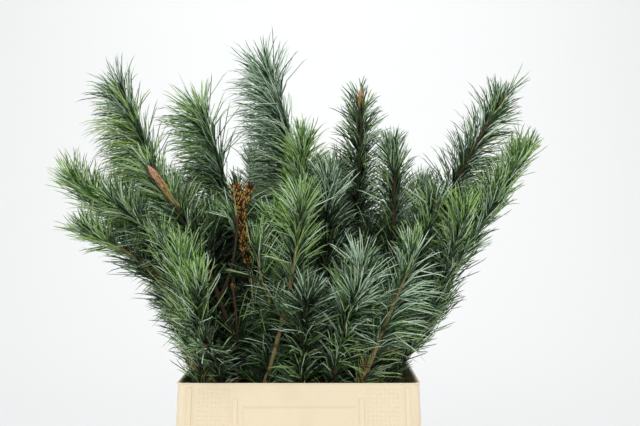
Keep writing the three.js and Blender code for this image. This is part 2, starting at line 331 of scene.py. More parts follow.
def all_branches() -> list[Branch]:
    """Give the branches.

    Returns:
        Those that the photograph shows first, and those behind them last.
    """
    shade, deep, mid, fresh, yellow, blue, silver = list(Tint)[:7]
    return [
        Branch("left_out", (-152, 12), (-380, 10, 315), 60, (fresh, mid, deep), sweep=(0.2, 0, 0),
               reach=1.0, curl=0.9, bare=0.3),
        Branch("left_low", (-154, -42), (-346, -50, 231), 90, (mid, fresh, deep), sweep=(0.2, 0, 0.1),
               reach=0.9, curl=0.9, bare=0.4),
        Branch("left_mid", (-116, -18), (-293, -64, 277), 60, (mid, mid, shade), sweep=(-0.2, 0, -0.2)),
        Branch("left_high", (-118, 48), (-306, 62, 466), 10, (blue, yellow, mid), sweep=(-1.6, 0, 0.2),
               opening=1.3, reach=1.25, curl=1.8),
        Branch("left_bud", (-92, -62), (-238, -92, 336), 40, (mid, mid, deep), sweep=(-0.3, 0, 0),
               open_tip=64),
        Branch("brown_twig", (-58, -36), (-103, -58, 310), 0, (mid, shade, shade), sweep=(-0.4, 0, 0),
               reach=0.6, open_tip=90),
        Branch("upper_left", (-72, 62), (-168, 64, 430), 30, (fresh, blue, deep), sweep=(-1.5, 0, 0),
               opening=1.45, reach=1.4, curl=1.8),
        Branch("tall", (-14, 52), (-53, 52, 500), 80, (silver, blue, mid), sweep=(-1.5, 0, 0),
               opening=1.15, reach=1.3),
        Branch("centre_high", (4, 2), (5, -6, 375), 0, (fresh, fresh, mid), opening=1.1, reach=0.95),
        Branch("centre", (38, -48), (47, -66, 303), 0, (blue, deep, shade)),
        Branch("bud_top", (68, 34), (103, 14, 458), -20, (mid, blue, deep), sweep=(-0.1, 0, 0),
               opening=1.1, reach=0.88, bare=0.3, open_tip=30),
        Branch("mid_right", (98, -26), (153, -34, 367), -50, (blue, mid, deep), sweep=(-0.1, 0, 0),
               reach=0.85, bare=0.3),
        Branch("right_bud", (128, -74), (219, -84, 277), 0, (mid, deep, deep), sweep=(-0.3, 0, 0.1),
               straw=0.5, open_tip=16, reach=0.92),
        Branch("right_high", (116, 46), (345, 34, 458), 20, (mid, blue, deep), sweep=(0.3, 0, -0.3),
               reach=1.04, bare=0.58, open_tip=20),
        Branch("right_inner", (146, 6), (288, 10, 279), 20, (silver, fresh, fresh), sweep=(-0.2, 0, 0.2),
               reach=0.7),
        Branch("right_low", (156, -38), (374, -14, 362), 10, (fresh, mid, mid), sweep=(-0.5, 0, 0.1),
               opening=0.85, reach=0.92, curl=0.6),
        Branch("front_mid", (-52, -98), (5, -134, 278), -20, (fresh, mid, mid), sweep=(-0.4, 0, 0), bare=0.6),
        Branch("front_left", (-158, -92), (-179, -152, 196), 0, (fresh, mid, mid), opening=0.62, reach=0.92,
               curl=0.5, bare=0.2, straw=0.12),
        Branch("front_corner", (-122, -112), (-140, -212, 66), 40, (mid, deep, mid), sweep=(0.3, 0, 0.2),
               straw=0.08, reach=0.66, curl=2.2),
        Branch("front_right", (102, -106), (176, -154, 194), 0, (mid, silver, mid), sweep=(0.5, 0, -0.1),
               curl=1.8, bare=0.6, straw=0.15, reach=1.0),
        Branch("front_spray", (54, -112), (86, -182, 132), 20, (blue, mid, mid), sweep=(0.4, 0, 0.1),
               bare=0.3, curl=2.8),
        Branch("rosette", (4, -110), (14, -196, 128), 40, (deep, deep, mid), sweep=(-0.2, 0, 0.2), curl=2.8),
        Branch("back_left", (-130, 94), (-238, 200, 300), 20, (mid, blue, shade), sweep=(-0.4, 0, 0)),
        Branch("back_mid_left", (-48, 108), (-84, 188, 352), 10, (blue, mid, shade), sweep=(0.3, 0, 0.2)),
        Branch("back_mid_right", (34, 106), (62, 196, 332), 10, (fresh, mid, shade), sweep=(0.4, 0, 0)),
        Branch("back_right", (124, 96), (226, 190, 312), 20, (blue, mid, shade), sweep=(-0.2, 0.3, 0),
               reach=0.76),
        Branch("back_low_left", (-88, 118), (-108, 258, 142), 50, (fresh, mid, deep), sweep=(0, 0.3, 0.2)),
        Branch("back_low_right", (78, 118), (84, 262, 132), 50, (mid, deep, deep), sweep=(0.3, 0, 0.2)),
    ]


BRANCHES = all_branches()


def shoot_of(name: str) -> Bow:
    """Give the shoot of the branch of that name."""
    return next(branch for branch in BRANCHES if branch.name == name).shoot()


# Shaders


class Link:
    """A socket of a shader, on which sums are written as plain expressions."""

    def __init__(self, shader: Shader, socket: bpy.types.NodeSocket) -> None:
        """Wrap a socket of a shader's node."""
        self.shader = shader
        self.socket = socket

    def _maths(self, operation: str, *values: Link | float) -> Link:
        """Add a Math node on these values."""
        return self.shader.node("ShaderNodeMath", {"operation": operation}, dict(enumerate(values)))

    def __add__(self, other: Link | float) -> Link:
        """Add a value."""
        return self._maths("ADD", self, other)

    __radd__ = __add__

    def __sub__(self, other: Link | float) -> Link:
        """Take a value away."""
        return self._maths("SUBTRACT", self, other)

    def __rsub__(self, other: float) -> Link:
        """Take this away from a number."""
        return self._maths("SUBTRACT", other, self)

    def __mul__(self, other: Link | float) -> Link:
        """Multiply by a value."""
        return self._maths("MULTIPLY", self, other)

    __rmul__ = __mul__

    def ramp(self, low: float, high: float) -> Link:
        """Give 0 below low, 1 above high and a smooth rise between them."""
        settings = {"interpolation_type": "SMOOTHSTEP"}
        return self.shader.node("ShaderNodeMapRange", settings, {0: self, 1: low, 2: high})


class Shader:
    """A material's nodes, made one after another."""

    NOISE_ROUGHNESS = 0.6
    MIX_SHARE, MIX_FIRST, MIX_SECOND, MIXED_COLOUR = 0, 6, 7, 2

    def __init__(self, name: str, roughness: float, specular: float = 0.5) -> None:
        """Start a material.

        Args:
            name: The material's name.
            roughness: Its roughness.
            specular: Its gloss.
        """
        self.material = bpy.data.materials.new(name)
        self.material.use_nodes = True
        self.tree = self.material.node_tree
        self.surface = self.tree.nodes["Principled BSDF"]
        self.surface.inputs["Roughness"].default_value = roughness
        self.surface.inputs["Specular IOR Level"].default_value = specular

    def node(self, kind: str, settings: dict, values: dict, output: int | str = 0) -> Link:
        """Add a node.

        Args:
            kind: The node's type.
            settings: Its own settings, which are set first.
            values: What each of its sockets is set or linked to.
            output: The output to hand back.

        Returns:
            The link from that output.
        """
        made = self.tree.nodes.new(kind)
        for key, value in settings.items():
            setattr(made, key, value)
        for key, value in values.items():
            if isinstance(value, Link):
                self.tree.links.new(value.socket, made.inputs[key])
            else:
                made.inputs[key].default_value = value
        return Link(self, made.outputs[output])

    def noise(self, scale: float, detail: float, stretch: tuple[float, ...] = (1.0, 1.0, 1.0)) -> Link:
        """Give soft noise on the place in metres.

        Args:
            scale: About how many blotches there are in a metre.
            detail: How many finer layers it has.
            stretch: How much the place is stretched along each axis first.

        Returns:
            The noise, from 0 to 1.
        """
        place = self.node("ShaderNodeTexCoord", {}, {}, "Object")
        place = self.node("ShaderNodeMapping", {}, {"Vector": place, "Scale": stretch})
        values = {"Vector": place, "Scale": scale, "Detail": detail, "Roughness": self.NOISE_ROUGHNESS}
        return self.node("ShaderNodeTexNoise", {}, values)

    def blend(self, share: Link, first: Colour | Link, second: Colour | Link) -> Link:
        """Mix two colours.

        Args:
            share: The share of the second colour.
            first: The first colour.
            second: The second colour.

        Returns:
            The mixed colour.
        """
        colours = [c if isinstance(c, Link) else (*c, 1.0) for c in (first, second)]
        values = {self.MIX_SHARE: share, self.MIX_FIRST: colours[0], self.MIX_SECOND: colours[1]}
        return self.node("ShaderNodeMix", {"data_type": "RGBA"}, values, self.MIXED_COLOUR)

    def wear(self, colour: Link, roughness: Link, height: Link, depth: float) -> bpy.types.Material:
        """Connect what changes over the surface.

        Args:
            colour: The base colour.
            roughness: The roughness.
            height: The height of the relief, from 0 to 1.
            depth: The depth of that relief in metres.

        Returns:
            The finished material.
        """
        self.tree.links.new(colour.socket, self.surface.inputs["Base Color"])
        self.tree.links.new(roughness.socket, self.surface.inputs["Roughness"])
        relief = self.node("ShaderNodeBump", {}, {"Height": height, "Distance": depth, "Strength": 1.0})
        self.tree.links.new(relief.socket, self.surface.inputs["Normal"])
        return self.material


@dataclass(frozen=True)
class PlainColour:
    """A finish of one even colour, for pieces of thousands of small leaves or scales."""

    name: str
    colour: Colour
    roughness: float = 0.6
    specular: float = 0.3

    def material(self) -> bpy.types.Material:
        """Make the material.

        Returns:
            The finished material.
        """
        shader = Shader(self.name, self.roughness, self.specular)
        shader.surface.inputs["Base Color"].default_value = (*self.colour, 1.0)
        return shader.material


def scale_finishes(kinds: type[Enum], back: str, edge: str) -> list[bpy.types.Material]:
    """Make a pair of finishes for each kind of scale.

    Args:
        kinds: The kinds, each with the colour of its back and of its edge.
        back: What the finish of a back is called.
        edge: What the finish of an edge is called.

    Returns:
        The finishes, in the order of the kinds.
    """
    return [PlainColour(f"{kind.name.lower().replace('_', ' ')} {part}", colour).material()
            for kind in kinds for part, colour in zip((back, edge), kind.value)]


@dataclass(frozen=True)
class Bark:
    """Young pine bark, with darker leaf scars and pale flecks."""

    name: str
    light: Colour
    dark: Colour
    scale: float = 900.0
    patch_scale: float = 0.12
    fleck_share: float = 0.65
    roughness: Spread = Spread(0.62, 0.25)
    relief: float = 0.0006

    def material(self) -> bpy.types.Material:
        """Make the material.

        Returns:
            The finished material.
        """
        shader = Shader(self.name, 0.7, 0.3)
        flecks = shader.noise(self.scale, 5.0, (1.0, 1.0, 0.35))
        patches = shader.noise(self.scale * self.patch_scale, 3.0)
        tone = (flecks * self.fleck_share + patches * (1.0 - self.fleck_share)).ramp(0.38, 0.62)
        colour = shader.blend(tone, self.dark, self.light)
        roughness = self.roughness.least + flecks * self.roughness.extra
        return shader.wear(colour, roughness, flecks, self.relief)


@dataclass(frozen=True)
class Plastic:
    """Cream moulded plastic that has been handled: fine grain, soft stains and light scuffs."""

    name: str
    clean: Colour = (0.815, 0.702, 0.510)
    stained: Colour = (0.680, 0.530, 0.340)
    stain_scale: float = 9.0
    scuff_scale: float = 55.0
    grain_scale: float = 1500.0
    relief: float = 0.00012

    def material(self) -> bpy.types.Material:
        """Make the material.

        Returns:
            The finished material.
        """
        shader = Shader(self.name, 0.42, 0.5)
        stains = shader.noise(self.stain_scale, 5.0, (1.0, 1.0, 0.5)).ramp(0.5, 0.78)
        scuffs = shader.noise(self.scuff_scale, 8.0, (0.25, 0.25, 2.4)).ramp(0.64, 0.76)
        grain = shader.noise(self.grain_scale, 2.0)
        colour = shader.blend(stains * 0.45 + scuffs * 0.3, self.clean, self.stained)
        roughness = 0.36 + stains * 0.1 + scuffs * 0.18
        return shader.wear(colour, roughness, grain * 0.6 + scuffs * 0.4, self.relief)


# Meshes


def placed(mesh: bpy.types.Mesh, name: str) -> bpy.types.Object:
    """Put a finished mesh into the scene.

    Args:
        mesh: The mesh, in metres.
        name: The object's name.

    Returns:
        The object, at the origin.
    """
    made = bpy.data.objects.new(name, mesh)
    bpy.context.collection.objects.link(made)
    return made


def object_of(form: bmesh.types.BMesh, name: str, material: bpy.types.Material,
              smooth: bool = True) -> bpy.types.Object:
    """Turn a bmesh in millimetres into an object in metres.

    Args:
        form: The bmesh, which is freed.
        name: The piece's name.
        material: Its finish.
        smooth: Whether its faces are shaded smooth.

    Returns:
        The object.
    """
    bmesh.ops.scale(form, vec=(MM, MM, MM), verts=form.verts)
    mesh = bpy.data.meshes.new(name)
    for face in form.faces:
        face.smooth = smooth
    form.to_mesh(mesh)
    form.free()
    mesh.materials.append(material)
    return placed(mesh, name)


@dataclass
class Blades:
    """Thin three-sided blades of nearly even width, collected and made one mesh.

    A ring of RINGS is a share of the length and the share of the width that the blade has there. WIDTHS
    are the numbers of columns that the parts of a row take.
    """

    SIDES = 3
    RINGS = ((0.07, 0.85), (0.42, 1.0), (0.88, 0.7))
    WIDTHS = (3, 3, 3, 3, 1, 1, 1, 1, 1)

    rows: list[tuple[float, ...]] = field(default_factory=list)

    def add(self, root: Vector, start: Vector, end: Vector, length: float, half: float, roll: float,
            foot: int, tip: int) -> None:
        """Add one blade.

        Args:
            root: Where it starts, in millimetres.
            start: The direction in which it starts.
            end: The direction from its root to its tip.
            length: Its length in millimetres.
            half: Half its width in millimetres.
            roll: How far it is rolled about its own length, in turns.
            foot: The place of its foot's pair of finishes, for its outer face and its inner faces.
            tip: The place of its tip's pair of finishes.
        """
        side = start.cross(end).normalized()
        self.rows.append((*root, *start, *(end - start), *side, length, half, roll, foot, tip))

    def mesh(self, name: str, materials: list[bpy.types.Material]) -> bpy.types.Object:
        """Make the object.

        Args:
            name: The piece's name.
            materials: Its material slots.

        Returns:
            The object, placed in metres.
        """
        table = np.array(self.rows, dtype=np.float64)
        columns = np.split(table, np.cumsum(self.WIDTHS)[:-1], axis=1)
        root, way, bend, side, length, half, roll, foot, tip = columns
        points = [root]
        for share, width in self.RINGS:
            centre = root + length * (share * way + share * share * bend)
            normal = np.cross(way + 2.0 * share * bend, side)
            normal /= np.linalg.norm(normal, axis=1, keepdims=True)
            for corner in range(self.SIDES):
                turn = FULL_TURN * (roll + corner / self.SIDES)
                points.append(centre + half * width * (np.cos(turn) * normal + np.sin(turn) * side))
        points.append(root + length * (way + bend))
        grid = np.stack(points, axis=1)
        faces, outer, near_tip = self._faces()
        offsets = np.arange(len(table))[:, None, None] * grid.shape[1]
        triangles = (faces[None] + offsets).reshape(-1, 3)
        pairs = np.where(near_tip[None], tip, foot)
        slots = (2 * pairs + ~outer[None]).astype(np.int32).ravel()
        mesh = self._mesh(name, grid.reshape(-1, 3) * MM, triangles, slots)
        for material in materials:
            mesh.materials.append(material)
        return placed(mesh, name)

    @classmethod
    def _faces(cls) -> tuple[np.ndarray, np.ndarray, np.ndarray]:
        """Give one blade's triangles, side by side from its root to its tip.

        Returns:
            The corners of each triangle, whether it is on the outer face, and whether it is near the tip.
        """
        faces = []
        tip = cls.SIDES * len(cls.RINGS) + 1
        for side in range(cls.SIDES):
            a, b = 1 + side, 1 + (side + 1) % cls.SIDES
            faces.append((0, b, a))
            for ring in range(0, tip - 1 - cls.SIDES, cls.SIDES):
                faces.append((a + ring, b + ring, b + ring + cls.SIDES))
                faces.append((a + ring, b + ring + cls.SIDES, a + ring + cls.SIDES))
            faces.append((a + tip - 1 - cls.SIDES, b + tip - 1 - cls.SIDES, tip))
        count = 2 * len(cls.RINGS)
        outer = [side == 1 for side in range(cls.SIDES) for _ in range(count)]
        near_tip = [k >= count // 2 for _ in range(cls.SIDES) for k in range(count)]
        return np.array(faces), np.array(outer), np.array(near_tip)

    @staticmethod
    def _mesh(name: str, points: np.ndarray, triangles: np.ndarray, slots: np.ndarray) -> bpy.types.Mesh:
        """Make a mesh of triangles.

        Args:
            name: Its name.
            points: The corners in metres, one a row.
            triangles: The places of the corners of each triangle.
            slots: The material slot of each triangle.

        Returns:
            The mesh.
        """
        mesh = bpy.data.meshes.new(name)
        mesh.vertices.add(len(points))
        mesh.vertices.foreach_set("co", points.astype(np.float32).ravel())
        mesh.loops.add(len(triangles) * 3)
        mesh.loops.foreach_set("vertex_index", triangles.astype(np.int32).ravel())
        mesh.polygons.add(len(triangles))
        mesh.polygons.foreach_set("loop_start", np.arange(0, len(triangles) * 3, 3, dtype=np.int32))
        mesh.polygons.foreach_set("material_index", slots)
        mesh.update(calc_edges=True)
        return mesh


def add_limb(form: bmesh.types.BMesh, bow: Bow, radius_at: RadiusAt, sides: int, step: float) -> None:
    """Extrude a round limb along a curve into a bmesh.

    Args:
        form: The bmesh that gets the limb, in millimetres.
        bow: The limb's curve.
        radius_at: The radius at a distance along and an angle round the limb.
        sides: How many corners a ring has.
        step: The distance between two rings.
    """
    length = bow.length()
    steps = max(2, round(length / step))
    ring = bmesh.ops.create_circle(form, segments=sides, radius=1.0, cap_ends=True)["verts"]
    face = ring[0].link_faces[0]
    first = bow.tangent(0.0).to_track_quat("Z", "Y")
    turns = [FULL_TURN * i / sides for i in range(sides)]
    for i in range(steps + 1):
        share = i / steps
        if i:
            face = bmesh.ops.extrude_discrete_faces(form, faces=[face])["faces"][0]
            ring = list(face.verts)
        frame = bow.tangent(0.0).rotation_difference(bow.tangent(share)) @ first
        for corner, turn in zip(ring, turns):
            rod = Vector((math.cos(turn), math.sin(turn), 0.0)) * radius_at(share * length, turn)
            corner.co = bow.point(share) + frame @ rod


# The bunch


@dataclass
class Bunch:
    """The branches as they grow: the side shoots of each, and the room that it has among the others."""

    side_middle: tuple[float, float] = (0.34, 0.26)
    side_end: tuple[float, float, float] = (0.2, 0.5, 0.1)
    pieces_at_fork: int = 2
    measured_at: tuple[float, float] = (0.25, 0.75)
    side_curves: list[list[Bow]] = field(default_factory=list)
    own: list[KDTree] = field(default_factory=list)
    others: list[KDTree] = field(default_factory=list)

    def grow(self) -> None:
        """Work out the side shoots, and the trees of points that tell a branch's room from the others'."""
        shoots = [branch.shoot().pieces() for branch in BRANCHES]
        sides: list[list[Piece]] = [[] for _ in BRANCHES]
        for i, branch in enumerate(BRANCHES):
            others = [piece for k, pieces in enumerate(shoots) if k != i for piece in pieces]
            others += [piece for pieces in sides for piece in pieces]
            curves = self._side_shoots(branch.shoot(), others, random_from(GROWTH.side_seed + i))
            self.side_curves.append(curves)
            sides[i] = [piece for curve in curves for piece in curve.pieces()]
        stems = [branch.stem().pieces() for branch in BRANCHES]
        for i in range(len(BRANCHES)):
            rest = [p for k in range(len(BRANCHES)) if k != i for p in shoots[k] + sides[k] + stems[k]]
            self.own.append(self._tree(shoots[i] + sides[i]))
            self.others.append(self._tree(rest))

    def _tree(self, pieces: list[Piece]) -> KDTree:
        """Give a tree of points along straight pieces, for quick distances.

        Args:
            pieces: The straight pieces.

        Returns:
            The tree, with two points on each piece.
        """
        points = [a.lerp(b, share) for a, b in pieces for share in self.measured_at]
        tree = KDTree(len(points))
        for i, point in enumerate(points):
            tree.insert(point, i)
        tree.balance()
        return tree

    def _side_shoot(self, shoot: Bow, share: float, turn: float, length: float) -> Bow:
        """Give a side shoot.

        Args:
            shoot: The shoot that it leaves.
            share: Where it leaves it.
            turn: How far it is turned about that shoot.
            length: About how long it is, in millimetres.

        Returns:
            The side shoot's curve.
        """
        start, along = shoot.point(share), shoot.tangent(share)
        across = Matrix.Rotation(turn, 3, along) @ outwards(start).cross(along).normalized()
        out, on = self.side_middle
        middle = start + across * out * length + along * on * length
        out, on, up = self.side_end
        end = middle + across * out * length + along * on * length + UP * up * length
        return Bow(start, middle, end)

    def _side_shoots(self, shoot: Bow, others: list[Piece], draw: Draw) -> list[Bow]:
        """Give a long branch's side shoots.

        Args:
            shoot: The branch's own shoot.
            others: The pieces of all other shoots.
            draw: The stream of random numbers.

        Returns:
            The side shoots, each with the turn that leaves it the most room inside the bunch.
        """
        if shoot.length() < GROWTH.longest_with_no_sides:
            return []
        made = []
        for share in GROWTH.side_at:
            length = GROWTH.side_length * GROWTH.side_size.pick(draw)
            first = draw() * FULL_TURN
            away = outwards(shoot.point(share))
            ends = np.array([[list(a), list(b)] for a, b in others])
            best, room = None, GROWTH.side_room
            for i in range(GROWTH.side_tries):
                turn = first + i * FULL_TURN / GROWTH.side_tries
                curve = self._side_shoot(shoot, share, turn, length)
                least = min(gap_between(piece, ends) for piece in curve.pieces()[self.pieces_at_fork:])
                leaves = (curve.middle - curve.start).dot(away) > GROWTH.side_outwards * length
                if least > room and not leaves:
                    best, room = curve, least
            if best:
                made.append(best)
                others = others + best.pieces()
        return made


@dataclass
class Wood:
    """The bare cut stems in the bucket and the twigs that bear the needles, in millimetres."""

    bunch: Bunch
    twig_radii: tuple[float, float] = (4.8, 2.9)
    side_radii: tuple[float, float] = (2.9, 1.8)
    tan_twigs: tuple[str, ...] = ("front_mid", "front_right", "left_low", "left_out")
    twig_sides: int = 6
    twig_step: float = 4.5
    knob_depth: float = 0.13
    knobs_round: float = 3.0
    knob_twist: float = 1.1
    knob_pitch: float = 0.8
    stem_sides: int = 12
    stem_step: float = 7.0
    plate_depth: float = 0.06
    plates_round: float = 2.0
    plate_length: float = 9.0
    seed_step: float = 31.0

    def stems(self) -> Iterator[tuple[bpy.types.Object, str]]:
        """Make each bare stem with its bark's relief.

        Returns:
            The stems one by one, each with the node that it replaces.
        """
        bark = Bark("stem bark", (0.30, 0.17, 0.085), (0.10, 0.055, 0.030)).material()
        for i, branch in enumerate(BRANCHES):
            bow = branch.stem()
            form = bmesh.new()
            plated = self._plated(bow.length(), self.seed_step * i)
            add_limb(form, bow, plated, self.stem_sides, self.stem_step)
            yield object_of(form, f"cut_stem_{branch.name}", bark), f"stem_{branch.name}"

    def _plated(self, whole: float, seed: float) -> RadiusAt:
        """Give the rule for a stem's radius, with the plates and scars of its bark.

        Args:
            whole: The stem's length.
            seed: A number of its own, so that no two stems are alike.

        Returns:
            The radius at a distance along and an angle round the stem.
        """
        slope = (GROWTH.stem_gate_radius - GROWTH.stem_foot_radius) / whole
        full = 1.0 - self.plate_depth

        def radius_at(distance: float, turn: float) -> float:
            """Give the stem's radius."""
            ring, up = self.plates_round, distance / self.plate_length + seed
            place = Vector((math.cos(turn) * ring, math.sin(turn) * ring, up))
            plate = full + self.plate_depth * noise.noise(place)
            return (GROWTH.stem_foot_radius + slope * distance) * plate

        return radius_at

    def twigs(self, name: str, bark: Bark, tan: bool) -> bpy.types.Object:
        """Make the twigs that bear the needles as one mesh, knobbly with the cushions of their sprays.

        Args:
            name: The piece's name.
            bark: Its finish.
            tan: Whether it has the tan twigs or all the others.

        Returns:
            The object.
        """
        form = bmesh.new()
        for branch, sides in zip(BRANCHES, self.bunch.side_curves):
            if (branch.name in self.tan_twigs) != tan:
                continue
            limbs = [(branch.shoot(), self.twig_radii), *((side, self.side_radii) for side in sides)]
            for bow, radii in limbs:
                add_limb(form, bow, self._knobbly(bow.length(), radii), self.twig_sides, self.twig_step)
        return object_of(form, name, bark.material())

    def _knobbly(self, whole: float, radii: tuple[float, float]) -> RadiusAt:
        """Give the rule for a twig's radius.

        Args:
            whole: The twig's length.
            radii: Its radius at its foot and at its tip.

        Returns:
            The radius at a distance along and an angle round the twig.
        """
        thick, thin = radii
        slope = (thin - thick) / whole

        def radius_at(distance: float, turn: float) -> float:
            """Give the twig's radius."""
            knob = math.sin(self.knobs_round * turn + distance * self.knob_twist)
            knob *= math.sin(distance * self.knob_pitch)
            return (thick + slope * distance) * (1.0 + self.knob_depth * knob)

        return radius_at


@dataclass(frozen=True)
class Bud:
    """An end bud: its length and radius, and how far it stands out past the end of its shoot."""

    length: float
    radius: float
    past: float = 6.0


@dataclass
class Buds:
    """The end buds of all shoots, each a spindle of overlapping scales, in millimetres."""

    bunch: Bunch
    seed: int = 77
    small: Bud = Bud(14.0, 2.6, 2.0)
    side: Bud = Bud(9.0, 2.1, 2.0)
    big: dict[str, Bud] = field(default_factory=lambda: {
        "left_bud": Bud(80.0, 5.8, 4.0), "bud_top": Bud(25.0, 4.8, 12.0), "right_high": Bud(17.0, 4.0, 8.0),
        "right_bud": Bud(15.0, 3.8, 8.0), "left_out": Bud(16.0, 4.0, 4.0), "left_low": Bud(18.0, 4.0, 4.0)})
    scales_for_its_size: float = 0.9
    foot_girth: float = 0.6
    swelling: float = 1.2
    bluntness: int = 7
    sunk: float = 2.0
    scale_root: float = 0.8
    scale_start: float = 0.45
    scale_way: tuple[float, float] = (0.1, 0.25)
    scale_length: Spread = Spread(5.0, 3.5)
    scale_half: float = 1.2
    tip_from: float = 0.66
    tip_mixing: float = 0.4

    def build(self) -> bpy.types.Object:
        """Make all the buds as one mesh.

        Returns:
            The object.
        """
        blades = Blades()
        draw = random_from(self.seed)
        closed, foot, tip = (place_of(kind) for kind in BudScale)
        for branch, sides in zip(BRANCHES, self.bunch.side_curves):
            big = self.big.get(branch.name)
            pairs = (foot, tip) if big else (closed, closed)
            self._add(blades, branch.shoot(), big or self.small, pairs, draw)
            for side in sides:
                self._add(blades, side, self.side, (closed, closed), draw)
        return blades.mesh("buds", scale_finishes(BudScale, "scale", "scale edge"))

    def _add(self, blades: Blades, bow: Bow, bud: Bud, pairs: tuple[int, int], draw: Draw) -> None:
        """Add one bud's scales at the end of a shoot, in a golden spiral round a spindle.

        Args:
            blades: The scales made so far.
            bow: The shoot.
            bud: The bud's size.
            pairs: The places of the pairs of finishes of its foot and of its tip.
            draw: The stream of random numbers.
        """
        end, along = bow.point(1.0), bow.tangent(1.0)
        count = int(bud.length * bud.radius * self.scales_for_its_size)
        straight, lean = self.scale_way
        for k in range(count):
            share = (k + 0.5) / count
            across = spoke(along, k * GOLDEN_TURN)
            girth = bud.radius * min(1.0, self.foot_girth + self.swelling * share)
            girth *= math.sqrt(1.0 - share**self.bluntness)
            place = share * bud.length - bud.length + bud.past - self.sunk
            root = end + along * place + across * girth * self.scale_root
            start = (along + across * self.scale_start).normalized()
            way = (along + across * (straight - lean * share)).normalized()
            pair = pairs[share + self.tip_mixing * (draw() - 0.5) > self.tip_from]
            blades.add(root, start, way, self.scale_length.pick(draw), self.scale_half, draw(), pair, pair)


@dataclass
class OldScales:
    """The rusty old scales on the end of the brown twig and on a bare prong beside it, in millimetres."""

    twig: str = "brown_twig"
    seed: int = 91
    twig_from: float = 0.6
    twig_radius: float = 6.0
    prong: tuple[tuple[float, float, float], ...] = ((13.0, 8.0, -30.0), (17.0, 8.0, -16.0), (21.0, 8.0, 0.0))
    prong_radius: float = 3.4
    scales_a_millimetre: float = 2.2
    root_out: tuple[float, float] = (0.35, 0.3)
    start_out: float = 1.1
    way_out: Spread = Spread(0.3, 1.0)
    golden_luck: float = 1.6
    scale_length: Spread = Spread(5.0, 6.0)
    scale_half: float = 1.8

    def build(self) -> bpy.types.Object:
        """Make all the old scales as one mesh.

        Returns:
            The object.
        """
        blades = Blades()
        draw = random_from(self.seed)
        shoot = shoot_of(self.twig)
        tip = shoot.point(1.0)
        prong = Bow(*(tip + Vector(step) for step in self.prong))
        self._add(blades, shoot, self.twig_from, self.twig_radius, draw)
        self._add(blades, prong, 0.0, self.prong_radius, draw)
        return blades.mesh("rust_scales", scale_finishes(OldScale, "back", "edge"))

    def _add(self, blades: Blades, bow: Bow, first: float, radius: float, draw: Draw) -> None:
        """Add the scales of one twig in a golden spiral. Their feet are old and their tips mostly golden.

        Args:
            blades: The scales made so far.
            bow: The twig's curve.
            first: Where on it they begin.
            radius: How thick the twig is with its scales.
            draw: The stream of random numbers.
        """
        count = round(bow.length() * (1.0 - first) * self.scales_a_millimetre)
        near, further = self.root_out
        for k in range(count):
            share = first + (1.0 - first) * (k + 0.5) / count
            along = bow.tangent(share)
            across = spoke(along, k * GOLDEN_TURN)
            root = bow.point(share) + across * radius * (near + further * share)
            start = (along + across * self.start_out).normalized()
            way = (along + across * self.way_out.pick(draw)).normalized()
            tip = int(len(OldScale) * draw() ** self.golden_luck)
            blades.add(root, start, way, self.scale_length.pick(draw), self.scale_half, draw(),
                       place_of(OldScale.OLD_SCALE), tip)


# The needles


@dataclass(frozen=True)
class Stretch:
    """A stretch of twig that the photograph shows bare, from one share to another.

    clear is how far from it, as the camera sees it, the needles in front of it are left out.
    """

    branch: str
    first: float
    last: float
    clear: float


@dataclass
class Openings:
    """What the photograph shows through the needles: stretches of bare twig, and one dark hollow.

    A sight is a spot on the upright plane through the bucket's middle, how far back in Y it is open, and
    the clearance round it, in millimetres.
    """

    stretches: tuple[Stretch, ...] = (
        Stretch("brown_twig", 0.5, 1.0, 13.0), Stretch("left_bud", 0.74, 1.0, 7.0),
        Stretch("front_mid", 0.2, 0.76, 5.5), Stretch("front_right", 0.16, 0.7, 5.0),
        Stretch("right_high", 0.35, 0.9, 5.0), Stretch("left_low", 0.45, 0.8, 4.0),
        Stretch("left_out", 0.5, 0.8, 3.5), Stretch("bud_top", 0.84, 1.0, 4.0),
        Stretch("mid_right", 0.45, 0.9, 3.5))
    stretch_steps: int = 32
    hollow_top: tuple[float, float] = (-125.0, 600.0)
    hollow_foot: tuple[float, float] = (-128.0, 465.0)
    hollow_y: float = -20.0
    hollow_clear: float = 32.0
    hollow_steps: int = 16
    probes: tuple[float, ...] = (0.15, 0.4, 0.65, 0.9)
    hollow: list[Sight] = field(default_factory=list)
    twigs: list[Sight] = field(default_factory=list)

    def find(self) -> None:
        """Work out the sights of the hollow and of the bare stretches."""
        top, foot = Vector(self.hollow_top), Vector(self.hollow_foot)
        for k in range(self.hollow_steps + 1):
            self.hollow.append((top.lerp(foot, k / self.hollow_steps), self.hollow_y, self.hollow_clear))
        for stretch in self.stretches:
            shoot = shoot_of(stretch.branch)
            run = stretch.last - stretch.first
            for k in range(self.stretch_steps + 1):
                point = shoot.point(stretch.first + run * k / self.stretch_steps)
                self.twigs.append((seen(point), point.y, stretch.clear))

    def hidden_by(self, root: Vector, way: Vector, length: float) -> bool:
        """Say whether a spray would hang in front of an opening.

        Args:
            root: The spray's root.
            way: Its direction.
            length: Its length.

        Returns:
            Whether any of its probed points does.
        """
        sights = self.hollow + self.twigs
        for share in self.probes:
            point = root + way * length * share
            place = seen(point)
            if any(point.y < y and (place - spot).length < clear for spot, y, clear in sights):
                return True
        return False

    def in_hollow(self, point: Vector) -> bool:
        """Say whether the camera sees a point in the hollow."""
        place = seen(point)
        return any((place - spot).length < clear for spot, _, clear in self.hollow)


